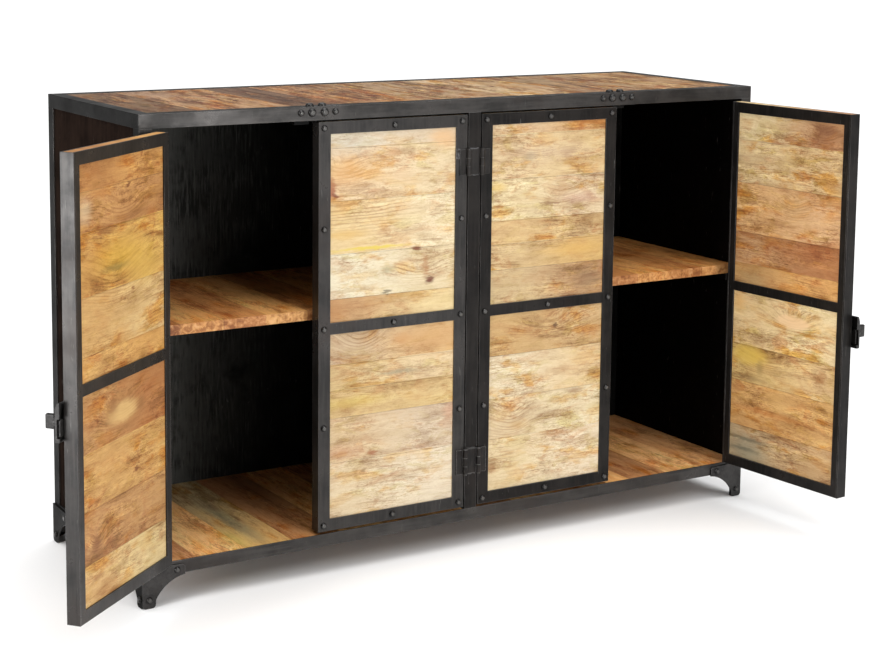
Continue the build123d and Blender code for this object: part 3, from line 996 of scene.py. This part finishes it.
def weld_beads(name, body, spots, chosen):
    """Low lumps of weld on a front face: (centre, radius, rise) each, one closed dome a spot."""
    built = bmesh.new()
    rings, around = 4, 12
    turn = Vector(FRONT).to_track_quat("Z", "Y").to_matrix().to_4x4()
    for centre, radius, rise in spots:
        place = Matrix.Translation(centre) @ turn
        rows = []
        for ring in range(rings):
            lean = ring / rings * math.pi / 2
            wide, high = radius * math.cos(lean), rise * math.sin(lean)
            row = []
            for step in range(around):
                angle = step / around * 2 * math.pi
                lump = 1 + LUMPINESS * math.sin(3 * angle + 900 * centre[2])
                point = (wide * lump * math.cos(angle), wide * lump * math.sin(angle), high)
                row.append(built.verts.new(place @ Vector(point)))
            rows.append(row)
        crown = built.verts.new(place @ Vector((0, 0, rise)))
        for low_row, high_row in zip(rows, rows[1:]):
            for step in range(around):
                after = (step + 1) % around
                built.faces.new(
                    (low_row[step], low_row[after], high_row[after], high_row[step])
                )
        for step in range(around):
            built.faces.new((rows[-1][step], rows[-1][(step + 1) % around], crown))
        built.faces.new(list(reversed(rows[0])))
    mesh = bpy.data.meshes.new(name)
    built.to_mesh(mesh)
    built.free()
    mesh.shade_smooth()
    mesh.materials.append(chosen)
    piece = bpy.data.objects.new(name, mesh)
    bpy.context.scene.collection.objects.link(piece)
    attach(piece, body)


weld_iron = iron(
    "weld_iron",
    ("1d1c1b", "5a5a5b", "2c2622"),
    metal=0.4,
    rough=0.36,
    wear_and_highlight=0.2,
    pitted=0.9,
)
bead_clearance = 0.0001
leaves_low, leaves_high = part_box("mullion_hinges")
leaf_height = 0.050
plate_levels = (leaves_low.z + leaf_height / 2, leaves_high.z - leaf_height / 2)

# A row of beads along the upper and the lower edge of each hinge plate on the mullion
beads_per_row = 9
bead_pitch = 0.0021
bead_rise = 0.0013
bead_past_edge = 0.0008
plate_face = mullion_low.y + bead_clearance
mullion_spots = []
for level in plate_levels:
    for end in (-1, 1):
        edge_z = level + end * (leaf_height / 2 + bead_past_edge)
        for n in range(beads_per_row):
            x = middle_x + (n - (beads_per_row - 1) / 2) * bead_pitch
            wobble = 0.0006 * math.sin(7.3 * n + 40 * level)
            size = 0.0017 + 0.0005 * math.sin(5.1 * n + end)
            mullion_spots.append(((x, plate_face, edge_z + wobble), size, bead_rise))
weld_beads("mullion_welds", "cabinet", mullion_spots, weld_iron)

# Spatter on the stile beside the upper hinge
spatter_count = 18
stile_face = door_low.y + bead_clearance
leaf_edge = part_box("centre_left_door_hinge_leaves")[0].x
splash_spots = []
for n in range(spatter_count):
    x = leaf_edge - 0.001 - 0.0055 * abs(math.sin(4.7 * n))
    z = plate_levels[1] + 0.028 - 0.020 * abs(math.sin(1.9 * n + 0.4))
    size = 0.0010 + 0.0016 * abs(math.sin(2.9 * n))
    splash_spots.append(((x, stile_face, z), size, 0.5 * size))
weld_beads("left_stile_welds", "centre_left_door", splash_spots, weld_iron)

# ---- Studio ----


def aim(thing, eye, target):
    thing.location = eye
    thing.rotation_mode = "QUATERNION"
    thing.rotation_quaternion = (Vector(target) - Vector(eye)).to_track_quat("-Z", "Y")


def softbox(name, eye, target, width, height, watts):
    lamp = bpy.data.lights.new(name, "AREA")
    lamp.shape = "RECTANGLE"
    lamp.size = width
    lamp.size_y = height
    lamp.energy = watts
    holder = bpy.data.objects.new(name, lamp)
    bpy.context.scene.collection.objects.link(holder)
    aim(holder, eye, target)


scene = bpy.context.scene
scene.view_settings.view_transform = "Standard"

ground = bpy.data.meshes.new("studio_floor")
grid = bmesh.new()
bmesh.ops.create_grid(grid, x_segments=4, y_segments=4, size=30)
grid.to_mesh(ground)
grid.free()
floor_object = bpy.data.objects.new("studio_floor", ground)
scene.collection.objects.link(floor_object)
paper = Graph("studio_paper")
paper.set(Base_Color=grey(0.86), Roughness=0.9)
ground.materials.append(paper.material)

# The studio's walls look white but light the object only a little
WALL_LIGHT = 0.3
world = bpy.data.worlds.new("studio")
scene.world = world
world.use_nodes = True
shades = world.node_tree.nodes
sky = shades["Background"]
sky.inputs["Color"].default_value = grey(1.0)
sky.inputs["Strength"].default_value = WALL_LIGHT
seen = shades.new("ShaderNodeBackground")
seen.inputs["Color"].default_value = grey(1.0)
either = shades.new("ShaderNodeMixShader")
path = shades.new("ShaderNodeLightPath")
join = world.node_tree.links.new
join(path.outputs["Is Camera Ray"], either.inputs[0])
join(sky.outputs[0], either.inputs[1])
join(seen.outputs[0], either.inputs[2])
join(either.outputs[0], shades["World Output"].inputs[0])

overhead = bpy.data.lights.new("overhead", "SUN")
overhead.energy = 3.5
overhead.angle = math.radians(70)
holder = bpy.data.objects.new("overhead", overhead)
scene.collection.objects.link(holder)

centre = (middle_x, front_y, 0.5)
softbox("key", (middle_x + 0.3, front_y - 2.8, 2.6), centre, 1.5, 1.5, 40)
softbox("sheen", (middle_x + 0.45, front_y - 3.1, 0.8), centre, 0.8, 1.2, 27)
softbox("left_fill", (middle_x - 4.0, front_y - 0.9, 1.2), centre, 0.9, 2.2, 62)
door_end = (middle_x - 0.95, front_y - 0.22, 0.47)
softbox("edge", (middle_x - 2.95, front_y - 0.40, 0.45), door_end, 0.8, 0.9, 18)

# ---- Camera: to the left of the cabinet's front, a little above its top ----

yaw = math.radians(31.88)
pitch = math.radians(7.53)
roll = math.radians(0.62)
eye = Vector((middle_x - 1.992, middle_y - 3.314, 1.238))
forward = Vector(
    (math.sin(yaw) * math.cos(pitch), math.cos(yaw) * math.cos(pitch), -math.sin(pitch))
)
level = Vector((math.cos(yaw), -math.sin(yaw), 0))
upward = level.cross(forward)
side = math.cos(roll) * level + math.sin(roll) * upward
top = math.cos(roll) * upward - math.sin(roll) * level
lens = bpy.data.cameras.new("camera")
lens.sensor_width = 36
lens.lens = 77.09
lens.shift_y = -0.169
lens.clip_end = 100
camera = bpy.data.objects.new("camera", lens)
scene.collection.objects.link(camera)
camera.matrix_world = Matrix(
    (
        (side.x, top.x, -forward.x, eye.x),
        (side.y, top.y, -forward.y, eye.y),
        (side.z, top.z, -forward.z, eye.z),
        (0, 0, 0, 1),
    )
)
scene.camera = camera
